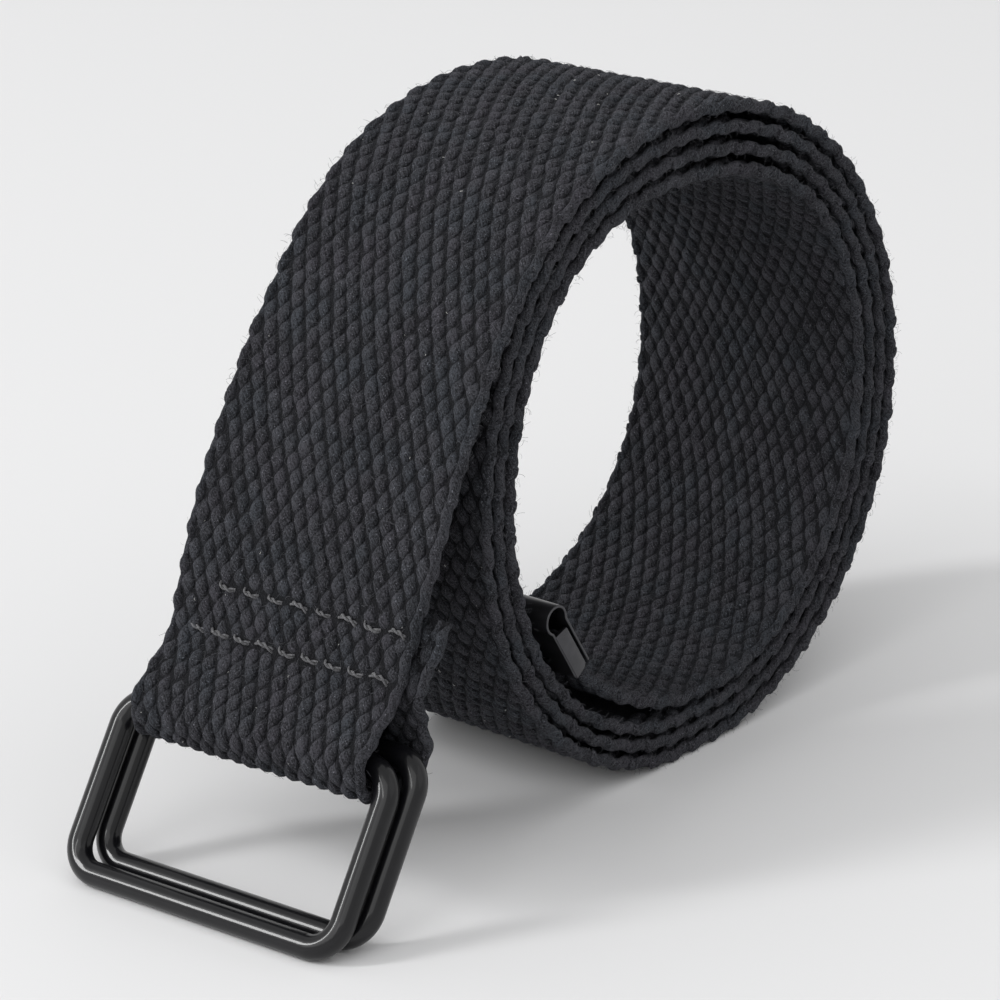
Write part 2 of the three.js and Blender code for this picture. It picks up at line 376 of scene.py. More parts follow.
def add(tree, kind, sockets=None, **settings):
    node = tree.nodes.new(kind)
    for name, value in settings.items():
        setattr(node, name, value)
    for key, value in (sockets or {}).items():
        fill(tree, node.inputs[key], value)
    return node


def maths(tree, operation, *values):
    return add(tree, "ShaderNodeMath", dict(enumerate(values)), operation=operation).outputs[0]


def sums(tree):
    """Adding, taking away, multiplying, and multiplying then adding, for one tree."""
    def operation(kind):
        return lambda *values: maths(tree, kind, *values)
    return [operation(kind) for kind in ("ADD", "SUBTRACT", "MULTIPLY", "MULTIPLY_ADD")]


def vectors(tree, operation, first, second):
    """Adds two vectors, or scales one by a number."""
    key = "Scale" if operation == "SCALE" else 1
    return add(tree, "ShaderNodeVectorMath", {0: first, key: second}, operation=operation).outputs[0]


def combine(tree, x, y, z):
    return add(tree, "ShaderNodeCombineXYZ", {0: x, 1: y, 2: z}).outputs[0]


def noise(tree, place, scale, detail, roughness=0.5):
    return add(tree, "ShaderNodeTexNoise", {
        "Vector": place, "Scale": scale, "Detail": detail, "Roughness": roughness,
    }).outputs[0]


def map_range(tree, value, low, high, to_low, to_high, **settings):
    sockets = {"Value": value, 1: low, 2: high, 3: to_low, 4: to_high}
    return add(tree, "ShaderNodeMapRange", sockets, **settings).outputs["Result"]


def new_tree(name, inputs):
    """A Geometry Nodes tree with a mesh in, a mesh out and one named input for each size."""
    tree = bpy.data.node_groups.new(name, "GeometryNodeTree")
    tree.interface.new_socket(name="Geometry", in_out="INPUT", socket_type="NodeSocketGeometry")
    for label, kind in inputs.items():
        tree.interface.new_socket(name=label, in_out="INPUT", socket_type="NodeSocket" + kind)
    tree.interface.new_socket(name="Geometry", in_out="OUTPUT", socket_type="NodeSocketGeometry")
    start = tree.nodes.new("NodeGroupInput")
    end = tree.nodes.new("NodeGroupOutput")
    return tree, {socket.name: socket for socket in start.outputs if socket.name}, end


def evaluated_mesh(thing):
    """What the modifiers of an object make of it, as a plain mesh."""
    depsgraph = bpy.context.evaluated_depsgraph_get()
    return bpy.data.meshes.new_from_object(thing.evaluated_get(depsgraph), depsgraph=depsgraph)


def grow(name, base, tree, values):
    """Runs a tree on a base mesh and returns the result as a plain mesh object."""
    carrier = put(name + "_carrier", base)
    modifier = carrier.modifiers.new("grow", "NODES")
    modifier.node_group = tree
    for item in tree.interface.items_tree:
        if item.in_out == "INPUT" and item.name in values:
            modifier[item.identifier] = values[item.name]
    mesh = evaluated_mesh(carrier)
    carrier.modifiers.remove(modifier)
    bpy.data.objects.remove(carrier)
    mesh.name = name
    print(f"{name}: {sum(len(face.vertices) - 2 for face in mesh.polygons)} triangles")
    return put(name, mesh)


def new_mesh(name, points, edges=(), faces=()):
    mesh = bpy.data.meshes.new(name)
    mesh.from_pydata([tuple(point) for point in points], list(edges), list(faces))
    return mesh


def point_mesh(name, points, edges=(), **attributes):
    """A mesh of bare points that carries numbers and directions for a node tree to read."""
    mesh = new_mesh(name, points, edges)
    for label, values in attributes.items():
        values = np.asarray(values, np.float32)
        kind, field = ("FLOAT_VECTOR", "vector") if values.ndim == 2 else ("FLOAT", "value")
        mesh.attributes.new(label, kind, "POINT").data.foreach_set(field, values.ravel())
    return mesh


def position_of(tree):
    return add(tree, "GeometryNodeInputPosition").outputs[0]


def index_of(tree):
    return add(tree, "GeometryNodeInputIndex").outputs[0]


def named(tree, name, kind="FLOAT"):
    node = add(tree, "GeometryNodeInputNamedAttribute", {"Name": name}, data_type=kind)
    return live(node.outputs, "Attribute")


def store(tree, geometry, name, value, kind="FLOAT", domain="POINT"):
    sockets = {"Geometry": geometry, "Name": name}
    node = add(tree, "GeometryNodeStoreNamedAttribute", sockets, data_type=kind, domain=domain)
    fill(tree, live(node.inputs, "Value"), value)
    return node.outputs[0]


def sample(tree, geometry, value, index, kind="FLOAT"):
    sockets = {"Geometry": geometry, "Index": index}
    node = add(tree, "GeometryNodeSampleIndex", sockets, data_type=kind, domain="POINT", clamp=True)
    fill(tree, live(node.inputs, "Value"), value)
    return node.outputs[0]


def chance(tree, low, high, identity, seed):
    node = add(tree, "FunctionNodeRandomValue", data_type="FLOAT")
    for label, value in (("Min", low), ("Max", high), ("ID", identity), ("Seed", seed)):
        fill(tree, live(node.inputs, label), value)
    return next(socket for socket in node.outputs if socket.enabled)


def tube_along(tree, curve, sides, radius):
    """A closed tube of round section along a curve."""
    sockets = {"Resolution": sides, "Radius": radius}
    section = add(tree, "GeometryNodeCurvePrimitiveCircle", sockets, mode="RADIUS")
    return add(tree, "GeometryNodeCurveToMesh", {
        "Curve": curve, "Profile Curve": section.outputs["Curve"], "Fill Caps": True,
    }).outputs[0]


def turned_to(tree, first, second, **axes):
    """The rotation that lays two axes along two directions stored on the points."""
    return add(tree, "FunctionNodeAxesToRotation", {
        0: named(tree, first, "FLOAT_VECTOR"), 1: named(tree, second, "FLOAT_VECTOR"),
    }, **axes).outputs[0]


def spun(tree, rotation, axis, angle):
    turn = add(tree, "FunctionNodeAxisAngleToRotation", {"Axis": axis, "Angle": angle})
    sockets = {0: rotation, 1: turn.outputs[0]}
    return add(tree, "FunctionNodeRotateRotation", sockets, rotation_space="LOCAL").outputs[0]


def copies_on(tree, points, instance, rotation, size):
    return add(tree, "GeometryNodeInstanceOnPoints", {
        "Points": points, "Instance": instance, "Rotation": rotation, "Scale": size,
    }).outputs[0]


def realised(tree, geometry):
    return add(tree, "GeometryNodeRealizeInstances", {"Geometry": geometry}).outputs[0]


def dress(tree, geometry, given, end, smooth=True):
    """The last nodes of a tree: smooth shading, the material and the way out."""
    if smooth:
        geometry = add(tree, "GeometryNodeSetShadeSmooth", {"Geometry": geometry}).outputs[0]
    dressed = add(tree, "GeometryNodeSetMaterial", {"Geometry": geometry, "Material": given["Material"]})
    fill(tree, end.inputs[0], dressed.outputs[0])
    return tree


# %% [markdown]
# ## Materials
#
# Cotton yarn is matt and uneven: each yarn took the dye a little differently. Pale specks in the
# colour stand partly for lint and partly for single fibres that catch the light, as painted glints.
# The deep places between the yarns are darkened with painted shade. The yarn tree stores three
# things on the mesh for this. `fibre` runs round and along each yarn with its twist, so a noise that
# is stretched along it looks like twisted fibres. `shade` is a random number for each crest of a yarn.
# `height` tells the crests from the hollows, and sets how much painted shade each place gets.

# %% Cotton


def new_material(name):
    material = bpy.data.materials.new(name)
    material.use_nodes = True
    return material, material.node_tree


def set_shader(tree, values):
    for label, value in values.items():
        fill(tree, tree.nodes["Principled BSDF"].inputs[label], value)


def attribute(tree, name):
    return add(tree, "ShaderNodeAttribute", attribute_name=name)


def object_place(tree):
    return add(tree, "ShaderNodeTexCoord").outputs["Object"]


def bump(tree, height, strength, distance):
    sockets = {"Height": height, "Strength": strength, "Distance": distance}
    return add(tree, "ShaderNodeBump", sockets).outputs["Normal"]


def ramp(tree, value, stops):
    node = add(tree, "ShaderNodeValToRGB", {"Fac": value})
    elements = node.color_ramp.elements
    while len(elements) < len(stops):
        elements.new(0.5)
    for element, (place, colour) in zip(elements, stops):
        element.position = place
        element.color = (*colour, 1)
    return node.outputs["Color"]


def mix(tree, share, first, second, blend="MIX"):
    sockets = {"Factor": share, 6: first, 7: second}
    return add(tree, "ShaderNodeMix", sockets, data_type="RGBA", blend_type=blend).outputs[2]


cotton_hues = [(0.35, (0.86, 0.97, 1.0)), (0.5, (1, 1, 1)), (0.68, (1.0, 0.93, 0.97))]
cotton_relief = 0.3 * MM


def cotton(name, dark, light):
    material, tree = new_material(name)
    plus, _, _, scaled = sums(tree)
    place = object_place(tree)
    shade = attribute(tree, "shade").outputs["Fac"]
    height = attribute(tree, "height").outputs["Fac"]
    fine = noise(tree, attribute(tree, "fibre").outputs["Vector"], 2.3, 3.0, 0.75)
    grain = noise(tree, place, 4200.0, 2.0, 0.6)
    cloud = noise(tree, place, 90.0, 2.0)
    tint = noise(tree, place, 160.0, 1.0)
    lint_and_glint_spots = noise(tree, place, 5200.0, 0.0)

    tone = scaled(grain, 2.8, scaled(fine, 3.6, -2.7))
    tone = plus(tone, scaled(shade, 0.3, -0.15))
    tone = plus(tone, scaled(cloud, 0.5, -0.25))
    colour = ramp(tree, tone, [(0.1, dark), (0.9, light)])
    # Pale specks: partly lint, and partly painted glints of single fibres that catch the light.
    lint_and_glint_colour = tuple(min(1, 4 * value) for value in light) + (1,)
    colour = mix(tree, map_range(tree, lint_and_glint_spots, 0.74, 0.8, 0.0, 0.6), colour, lint_and_glint_colour)
    colour = mix(tree, 0.7, colour, ramp(tree, tint, cotton_hues), "MULTIPLY")
    # Painted shade: where `height` is low, in the hollows between the yarns, the colour is multiplied
    # down to half.
    painted_hollow_shade = map_range(tree, height, 0.2, 0.72, 0.5, 1.0, interpolation_type="SMOOTHSTEP")
    colour = mix(tree, 1.0, colour, painted_hollow_shade, "MULTIPLY")
    set_shader(tree, {
        "Base Color": colour, "Roughness": 0.95, "Specular IOR Level": 0.16, "Sheen Weight": 0.06,
        "Sheen Roughness": 0.6, "Sheen Tint": (0.75, 0.78, 0.9, 1),
        "Normal": bump(tree, plus(fine, grain), 1.0, cotton_relief),
    })
    return material


webbing_cotton = cotton("webbing_cotton", (0.005, 0.005, 0.006), (0.049, 0.0495, 0.057))
# The weft's colour is far darker than the warp's: painted shade for the deep gaps between the crests and
# between the turns.
weft_cotton_painted_shade = cotton("weft_cotton_painted_shade", (0.004, 0.004, 0.005), (0.015, 0.015, 0.017))

# %% [markdown]
# ## Weaving the webbing
#
# Webbing like this is warp faced: thick warp yarns run lengthwise side by side, and each rises over
# one pick of weft and dives under the next while its neighbours do the opposite. So the face shows
# nothing but short plump crests set like bricks. A bump map could fake that from afar, but the
# outline and the cut edges of the roll would stay smooth, so here every warp yarn is a real tube.
#
# One node tree weaves any stretch. It takes the route as a line of points, makes one tube for each
# yarn, and moves each ring of the tube to its place: across the strap by the yarn's number, and in
# or out by the cosine of its phase in the weave. Yarns are fattest at their crests. The outermost
# yarn of each edge is flatter and stands on its side, and slow noises keep the rows from looking
# ruled.

# %% The weave as a node tree
warp_yarns = 33
yarn_pitch = 1.15 * MM
sewn_span = (9.0 * MM, 11.5 * MM)
phase_jitter = 0.9
crest_roundness = 0.4
tall_spread = 0.13
broad_spread = 0.16
press_flattens = 0.45
press_depth = 0.4 * MM
wander_height = 0.25 * MM
sway_reach = 0.09 * MM
lean_reach = 0.05 * MM
edge_crimp_loss = 0.45
edge_width_loss = 0.32
edge_height_gain = 0.45
# The least height the outermost yarn gets, which keeps it out of the cotton's painted shade.
edge_kept_from_painted_shade = 0.72
twist_per_pick = 2.4


def weave_tree():
    tree, given, end = new_tree("warp_faced_weave", {
        "Warp yarns": "Int", "Edge yarns only": "Int", "Yarn pitch": "Float", "Crimp": "Float",
        "Crest half width": "Float", "Waist half width": "Float", "Half height": "Float",
        "Sides": "Int", "Seed": "Int", "Material": "Material",
    })
    plus, minus, times, scaled = sums(tree)
    route = given["Geometry"]
    size = add(tree, "GeometryNodeAttributeDomainSize", {"Geometry": route}, component="MESH")
    spans = minus(size.outputs["Point Count"], 1)
    tube = add(tree, "GeometryNodeMeshCylinder", {
        "Vertices": given["Sides"], "Side Segments": spans, "Radius": 1.0, "Depth": 1.0,
    })
    numbers = add(tree, "GeometryNodeMeshLine", {"Count": given["Warp yarns"], "Offset": (0, 0, 0)})
    numbered = store(tree, numbers.outputs[0], "yarn", index_of(tree))
    yarn = named(tree, "yarn")
    last = minus(given["Warp yarns"], 1)
    from_edge = maths(tree, "MINIMUM", yarn, minus(last, yarn))
    hidden = maths(tree, "GREATER_THAN", from_edge, minus(given["Edge yarns only"], 0.5))
    sockets = {"Geometry": numbered, "Selection": hidden}
    kept = add(tree, "GeometryNodeDeleteGeometry", sockets, domain="POINT")
    sockets = {"Points": kept.outputs[0], "Instance": tube.outputs["Mesh"]}
    tubes = realised(tree, add(tree, "GeometryNodeInstanceOnPoints", sockets).outputs[0])

    place = add(tree, "ShaderNodeSeparateXYZ", {0: position_of(tree)})
    ring = maths(tree, "ROUND", times(plus(place.outputs["Z"], 0.5), spans))
    angle = maths(tree, "ARCTAN2", place.outputs["Y"], place.outputs["X"])
    picks, fullness, plumpness, press = (
        sample(tree, route, named(tree, label), ring)
        for label in ("picks", "fullness", "plumpness", "press"))
    middle = sample(tree, route, position_of(tree), ring, "FLOAT_VECTOR")
    sideways, upwards = (
        sample(tree, route, named(tree, label, "FLOAT_VECTOR"), ring, "FLOAT_VECTOR")
        for label in ("across", "outward"))
    from_middle = times(minus(yarn, times(last, 0.5)), given["Yarn pitch"])
    press = times(press, map_range(tree, from_middle, *sewn_span, 1.0, 0.0))

    beat = noise(tree, combine(tree, times(yarn, 0.9), times(picks, 0.45), 4.0), 1.0, 1.0)
    count = plus(plus(picks, yarn), scaled(beat, phase_jitter, -phase_jitter / 2))
    wave = maths(tree, "COSINE", times(count, math.pi))
    wave_square = times(wave, wave)
    plump = times(wave, scaled(wave_square, -crest_roundness, 1 + crest_roundness))
    identity = scaled(yarn, 2000, maths(tree, "ROUND", count))
    tall, broad, leaning = (
        chance(tree, -1.0, 1.0, identity, plus(given["Seed"], step)) for step in range(3))
    shade = chance(tree, 0.0, 1.0, identity, plus(given["Seed"], 3))
    wander = noise(tree, combine(tree, times(yarn, 0.35), times(picks, 0.16), 0.0), 1.0, 1.0)

    outermost = maths(tree, "LESS_THAN", from_edge, 0.5)
    tallness = times(scaled(tall, tall_spread, 1.0), scaled(outermost, -edge_crimp_loss, 1.0))
    rise = times(times(plump, given["Crimp"]), times(tallness, scaled(press, -press_flattens, 1.0)))
    rise = minus(rise, times(press, press_depth))
    rise = plus(rise, times(minus(wander, 0.5), wander_height))
    spread = minus(given["Crest half width"], given["Waist half width"])
    spread = times(spread, scaled(broad, broad_spread, 1.0))
    filled = times(wave_square, minus(1.7, times(wave_square, 0.7)))
    half_width = scaled(filled, spread, given["Waist half width"])
    half_width = times(half_width, scaled(outermost, -edge_width_loss, 1.0))
    half_width = times(half_width, times(fullness, plumpness))
    sway = times(maths(tree, "SINE", times(count, math.pi)), sway_reach)
    aside = plus(times(from_middle, fullness), plus(sway, times(leaning, lean_reach)))
    side = plus(aside, times(half_width, maths(tree, "COSINE", angle)))
    half_height = times(given["Half height"], scaled(outermost, edge_height_gain, 1.0))
    half_height = times(half_height, plumpness)
    out = plus(rise, times(half_height, maths(tree, "SINE", angle)))
    position = vectors(tree, "ADD", middle, vectors(tree, "SCALE", sideways, side))
    position = vectors(tree, "ADD", position, vectors(tree, "SCALE", upwards, out))

    twisted = plus(angle, times(picks, twist_per_pick))
    fibre = combine(
        tree, times(maths(tree, "COSINE", twisted), 2.0), times(maths(tree, "SINE", twisted), 2.0),
        scaled(yarn, 3.7, times(picks, 0.5)))
    # height runs from 0 in the hollows to 1 on the crests and sets the cotton's painted shade; the
    # outermost yarn gets at least 0.72, so it stays unshaded.
    full_height = plus(given["Crimp"], given["Half height"])
    height = maths(tree, "ABSOLUTE", maths(tree, "DIVIDE", out, full_height))
    height = maths(tree, "MAXIMUM", height, times(outermost, edge_kept_from_painted_shade))
    tubes = store(tree, tubes, "fibre", fibre, "FLOAT_VECTOR")
    tubes = store(tree, tubes, "shade", shade)
    tubes = store(tree, tubes, "height", height)
    moved = add(tree, "GeometryNodeSetPosition", {"Geometry": tubes, "Position": position})
    return dress(tree, moved.outputs[0], given, end)


weave = weave_tree()

# %% [markdown]
# The stitches pull the webbing in along two rows. `press` is 1 on a row and fades to 0 beside it.
# The rows lie on the front layer, and the same thread holds the folded layer behind.

# %% Where the stitch rows cross the webbing
stitch_rows = [30.0 * MM, 35.5 * MM]
press_reach = 1.3 * MM
front_layer = (share > 0) & (travel > fold_back_length + 15 * MM)
folded_layer = travel < fold_back_length + 3 * MM


def nearest(mask, height):
    candidates = np.flatnonzero(mask)
    return candidates[np.argmin(abs(centre[candidates, 2] - height))]


row_places = [nearest(front_layer, height) for height in stitch_rows]
row_places_behind = [nearest(folded_layer, height) for height in stitch_rows]
press = np.zeros(len(travel))
for place in row_places + row_places_behind:
    press = np.maximum(press, 1 - smoothstep(abs(travel - travel[place]), 0, press_reach))

# %% [markdown]
# At the cut end the yarns are squeezed by the knife and a little frayed, so they get thinner there.

# %% Yarn ends
cut_taper = 2.2 * MM
cut_share = 0.12
plumpness = np.sqrt(cut_share + (1 - cut_share) * smoothstep(travel, 0, cut_taper))

# %% [markdown]
# The strap is woven in stretches, so that no mesh gets too heavy. The tail, the outermost turn and
# the innermost turn are seen all over and get every yarn. Between the turns only the edges can be
# seen, so the middle turns get the outer yarns alone, over a plain band that stands for the rest.

# %% Weave the stretches
innermost_turn = -360 * (turns_at_top - 1)
turn_ends = [tail_leaves_at, -30, -200, innermost_turn + 212, innermost_turn + 30]


def travel_at(angle):
    on_roll = np.flatnonzero(share == 0)
    turned = np.arctan2(centre[on_roll, 2] - axis_height, centre[on_roll, 0] - side_shift)
    turned = np.degrees(np.unwrap(turned))
    turned += 360 * np.round((tail_leaves_at - turned[0]) / 360)
    return on_roll[np.argmin(abs(turned - angle))]


def stretch(name, first, last, edge_yarns, sides):
    part = slice(first, last + 1)
    base = point_mesh(
        name + "_route", centre[part], [(i, i + 1) for i in range(last - first)],
        across=across[part], outward=outward[part], picks=travel[part] / pick,
        fullness=width[part] / strap_width, press=press[part], plumpness=plumpness[part],
    )
    return grow(name, base, weave, {
        "Warp yarns": warp_yarns, "Edge yarns only": edge_yarns, "Yarn pitch": yarn_pitch,
        "Crimp": 0.35 * MM, "Crest half width": 0.97 * MM, "Waist half width": 0.6 * MM,
        "Half height": 0.58 * MM, "Sides": sides, "Seed": 7, "Material": webbing_cotton,
    })


cuts = [0] + [travel_at(angle) for angle in turn_ends] + [len(travel) - 1]
plans = [
    ("weave_tail", warp_yarns, 8),
    ("weave_outer_top", warp_yarns, 8),
    ("weave_outer_foot", warp_yarns, 8),
    ("weave_middle_turns", 4, 6),
    ("weave_inner_top", warp_yarns, 8),
    ("weave_inner_end", warp_yarns, 8),
]
woven = []
for (name, edge_yarns, sides), first, last in zip(plans, cuts[:-1], cuts[1:]):
    woven.append(stretch(name, first, last, edge_yarns, sides))

# %% [markdown]
# ## The band inside the weave
#
# The weft yarns run across inside the webbing and only show as darkness between the crests. One
# thin closed band along the whole route stands for them. Its colour is far darker than the warp's,
# which is painted shade for those deep gaps. It also is the cloth itself, as one sheet of known
# length.

# %% The band
band_half_thickness = 0.3 * MM
band_inset = 0.55 * MM
band_step = 4


def band_mesh(name):
    places = np.unique(np.r_[np.arange(0, len(travel), band_step), len(travel) - 1])
    up = band_half_thickness
    corners = []
    for i in places:
        side = width[i] / 2 - band_inset
        for a, b in ((side, up), (-side, up), (-side, -up), (side, -up)):
            corners.append(centre[i] + across[i] * a + outward[i] * b)
    faces = []
    for i in range(len(places) - 1):
        for j in range(4):
            k = (j + 1) % 4
            faces.append((4 * i + j, 4 * i + k, 4 * i + 4 + k, 4 * i + 4 + j))
    end = 4 * (len(places) - 1)
    faces += [(3, 2, 1, 0), (end, end + 1, end + 2, end + 3)]
    return new_mesh(name, corners, faces=faces)


def face_outwards(mesh):
    shape = bmesh.new()
    shape.from_mesh(mesh)
    bmesh.ops.recalc_face_normals(shape, faces=shape.faces)
    shape.to_mesh(mesh)
    shape.free()


band = put("weft_band", band_mesh("weft_band"))
face_outwards(band.data)
band.data.materials.append(weft_cotton_painted_shade)

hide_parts("strap")
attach(band, "webbing")
for piece in woven:
    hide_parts("strap")
    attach(piece, "webbing")

# %% [markdown]
# ## Selvedge
#
# At each edge the weft turns round the outermost warp yarn and goes back in. From the side of the
# roll these turns are all one sees of the webbing: a row of small slanted bumps on every layer. One
# short arc of yarn is made once, in the tree, and set on a point at every second pick, half a pick
# further on along the far edge than along the near one. Within reach of the rings the turns are set
# further in, so that the wire clears them as a ring swings.

# %% Weft turns along both edges
arc_half_angle = math.radians(78)
first_turn = 3
picks_per_turn = 2
turn_inset = 0.58 * MM
turn_inset_by_rings = 0.92 * MM
tip_starts = len(travel) - 1 - int(round(tip_length / weave_step))
rings_reach_to = travel[np.flatnonzero(share > 0.999)[-1]] + 30 * MM


def selvedge_tree():
    tree, given, end = new_tree("selvedge_turns", {
        "Yarn radius": "Float", "Turn height": "Float", "Turn depth": "Float", "Seed": "Int",
        "Material": "Material",
    })
    plus = sums(tree)[0]
    line = add(tree, "GeometryNodeCurveArc", {
        "Resolution": 7, "Radius": 1.0, "Start Angle": -arc_half_angle, "Sweep Angle": 2 * arc_half_angle,
    }, mode="RADIUS")
    bow = add(tree, "GeometryNodeTransform", {
        "Geometry": line.outputs["Curve"],
        "Scale": combine(tree, given["Turn depth"], given["Turn height"], 1.0),
    })
    index = index_of(tree)
    copies = copies_on(
        tree, given["Geometry"], tube_along(tree, bow.outputs[0], 6, given["Yarn radius"]),
        turned_to(tree, "side", "slant", primary_axis="X", secondary_axis="Y"),
        chance(tree, 0.85, 1.12, index, given["Seed"]))
    shade = chance(tree, 0.0, 1.0, index, plus(given["Seed"], 1))
    turns = realised(tree, store(tree, copies, "shade", shade, domain="INSTANCE"))
    fibre = vectors(tree, "SCALE", position_of(tree), 1400.0)
    turns = store(tree, turns, "fibre", fibre, "FLOAT_VECTOR")
    # A height of 0.8 keeps the weft turns out of the cotton's painted shade.
    return dress(tree, store(tree, turns, "height", 0.8), given, end)


def selvedge_points():
    points, sides, slants = [], [], []
    for edge in (-1, 1):
        for number in range(first_turn, int(strap_length / pick), picks_per_turn):
            i = min(int(round((number + 0.5 * edge) * rings_per_pick)), len(travel) - 1)
            if i > tip_starts:
                continue
            lean = outward[i] + edge * np.cross(across[i], outward[i])
            inset = turn_inset_by_rings if travel[i] < rings_reach_to else turn_inset
            points.append(centre[i] + across[i] * edge * (width[i] / 2 - inset))
            sides.append(across[i] * edge)
            slants.append(lean / np.linalg.norm(lean))
    return points, sides, slants


edge_points, edge_sides, edge_slants = selvedge_points()
selvedge_base = point_mesh("selvedge_points", edge_points, side=edge_sides, slant=edge_slants)
selvedge = grow("selvedge_turns", selvedge_base, selvedge_tree(), {
    "Yarn radius": 0.56 * MM, "Turn height": 0.66 * MM, "Turn depth": 0.34 * MM, "Seed": 3,
    "Material": webbing_cotton,
})
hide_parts("strap")
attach(selvedge, "webbing")

# %% [markdown]
# ## Stitches
#
# Two rows of lockstitch hold the folded end. The thread is a light grey two ply twist. Each stitch
# is a short low arch that dives into the webbing at both ends, and lies a little askew to its row.

# %% Sew the rows
stitch_pitch = 3.75 * MM
stitch_length = 2.6 * MM
stitch_height = 0.42 * MM
stitch_askew = 0.16
row_starts = [11 * MM, 8 * MM]
row_ends = [-17.5 * MM, -18.5 * MM]
ply_swing = 1.25
ply_turns = 1.2
arch_drop = 1.6


def thread_material():
    material, tree = new_material("grey_thread")
    grain = noise(tree, object_place(tree), 5000.0, 2.0)
    set_shader(tree, {
        "Base Color": ramp(tree, grain, [(0.35, (0.02, 0.02, 0.022)), (0.65, (0.095, 0.095, 0.103))]),
        "Roughness": 0.6, "Sheen Weight": 0.3, "Normal": bump(tree, grain, 0.5, 0.05 * MM),
    })
    return material


def stitch_tree():
    tree, given, end = new_tree("lockstitch", {
        "Stitch length": "Float", "Thread radius": "Float", "Arch": "Float", "Seed": "Int",
        "Material": "Material",
    })
    plus, minus, times, scaled = sums(tree)
    joined = tree.nodes.new("GeometryNodeJoinGeometry")
    for ply in (0, 1):
        line = add(tree, "GeometryNodeCurvePrimitiveLine", {"Start": (-0.5, 0, 0), "End": (0.5, 0, 0)})
        fine = add(tree, "GeometryNodeResampleCurve", {"Curve": line.outputs[0], "Count": 15})
        along = add(tree, "ShaderNodeSeparateXYZ", {0: position_of(tree)}).outputs["X"]
        square = times(along, along)
        drop = times(times(square, square), 16.0)
        height = times(given["Arch"], minus(1.0, times(drop, arch_drop)))
        angle = scaled(along, 2 * ply_turns * math.pi, ply * math.pi)
        swing = times(given["Thread radius"], ply_swing)
        spot = combine(
            tree, times(along, given["Stitch length"]), times(swing, maths(tree, "COSINE", angle)),
            plus(height, times(swing, maths(tree, "SINE", angle))))
        moved = add(tree, "GeometryNodeSetPosition", {"Geometry": fine.outputs[0], "Position": spot})
        strand = tube_along(tree, moved.outputs[0], 7, given["Thread radius"])
        tree.links.new(strand, joined.inputs[0])
    rotation = turned_to(tree, "out", "along", primary_axis="Z", secondary_axis="X")
    index = index_of(tree)
    roll = chance(tree, -1.0, 1.0, index, plus(given["Seed"], 1))
    copies = copies_on(
        tree, given["Geometry"], joined.outputs[0], spun(tree, rotation, (1, 0, 0), roll),
        chance(tree, 0.85, 1.1, index, given["Seed"]))
    return dress(tree, realised(tree, copies), given, end)


def stitch_points():
    points, outs, alongs = [], [], []
    for places, askew in ((row_places, stitch_askew), (row_places_behind, -stitch_askew)):
        for i, first, last in zip(places, row_starts, row_ends):
            count = int(round((first - last) / stitch_pitch)) + 1
            along = across[i] + askew * np.cross(across[i], outward[i])
            for k in range(count):
                y = first + (last - first) * k / (count - 1) + depth_shift
                sideways = (y - centre[i, 1]) / across[i, 1]
                points.append(centre[i] + across[i] * sideways + outward[i] * stitch_height)
                outs.append(outward[i])
                alongs.append(along / np.linalg.norm(along))
    return points, outs, alongs


thread_points, thread_outs, thread_alongs = stitch_points()
stitch_base = point_mesh("stitch_points", thread_points, out=thread_outs, along=thread_alongs)
stitches = grow("stitches", stitch_base, stitch_tree(), {
    "Stitch length": stitch_length, "Thread radius": 0.14 * MM, "Arch": 0.34 * MM, "Seed": 5,
    "Material": thread_material(),
})
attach(stitches, "webbing")

# %% [markdown]
# ## Loose fibres
#
# Cotton is never clean edged. Short loose hairs stand off the yarns everywhere and soften the
# outline, and a few pale specks of lint sit on the black. The hairs are scattered over flat strips
# that lie along the faces and edges that can be seen, just under the tops of the yarns, so that
# mostly their ends come out. The strips themselves aren't kept.

# %% Scatter hairs and lint
strip_lift = 0.6 * MM
strip_half_height = 0.8 * MM
hairs_per_face_area = 700000.0
hairs_per_edge_area = 2200000.0
lint_per_area = 9000.0


def fuzz_tree():
    tree, given, end = new_tree("loose_fibres", {
        "Density": "Float", "Fibre length": "Float", "Fibre radius": "Float", "Lift": "Float",
        "Seed": "Int", "Material": "Material",
    })
    plus = sums(tree)[0]
    spots = add(tree, "GeometryNodeDistributePointsOnFaces", {
        "Mesh": given["Geometry"], "Density": given["Density"], "Seed": given["Seed"],
    }, distribute_method="RANDOM")
    lift = vectors(tree, "SCALE", spots.outputs["Normal"], given["Lift"])
    lifted = add(tree, "GeometryNodeSetPosition", {"Geometry": spots.outputs["Points"], "Offset": lift})
    hair = add(tree, "GeometryNodeCurvePrimitiveBezierSegment", {
        "Resolution": 4, "Start": (0, 0, 0), "Start Handle": (0.05, 0.1, 0.25),
        "End Handle": (0.35, 0.25, 0.45), "End": (0.85, 0.1, 0.38),
    })
    length = given["Fibre length"]
    size = combine(tree, length, length, length)
    long_hair = add(tree, "GeometryNodeTransform", {"Geometry": hair.outputs[0], "Scale": size})
    index = index_of(tree)
    turn = chance(tree, 0.0, 2 * math.pi, index, plus(given["Seed"], 1))
    copies = copies_on(
        tree, lifted.outputs[0], tube_along(tree, long_hair.outputs[0], 3, given["Fibre radius"]),
        spun(tree, spots.outputs["Rotation"], (0, 0, 1), turn),
        chance(tree, 0.4, 1.0, index, given["Seed"]))
    return dress(tree, realised(tree, copies), given, end, smooth=False)


def plain_material(name, colour, roughness):
    material, tree = new_material(name)
    grain = noise(tree, object_place(tree), 700.0, 1.0)
    tone = ramp(tree, grain, [(0.35, tuple(c * 0.6 for c in colour)), (0.65, colour)])
    set_shader(tree, {"Base Color": tone, "Roughness": roughness})
    return material


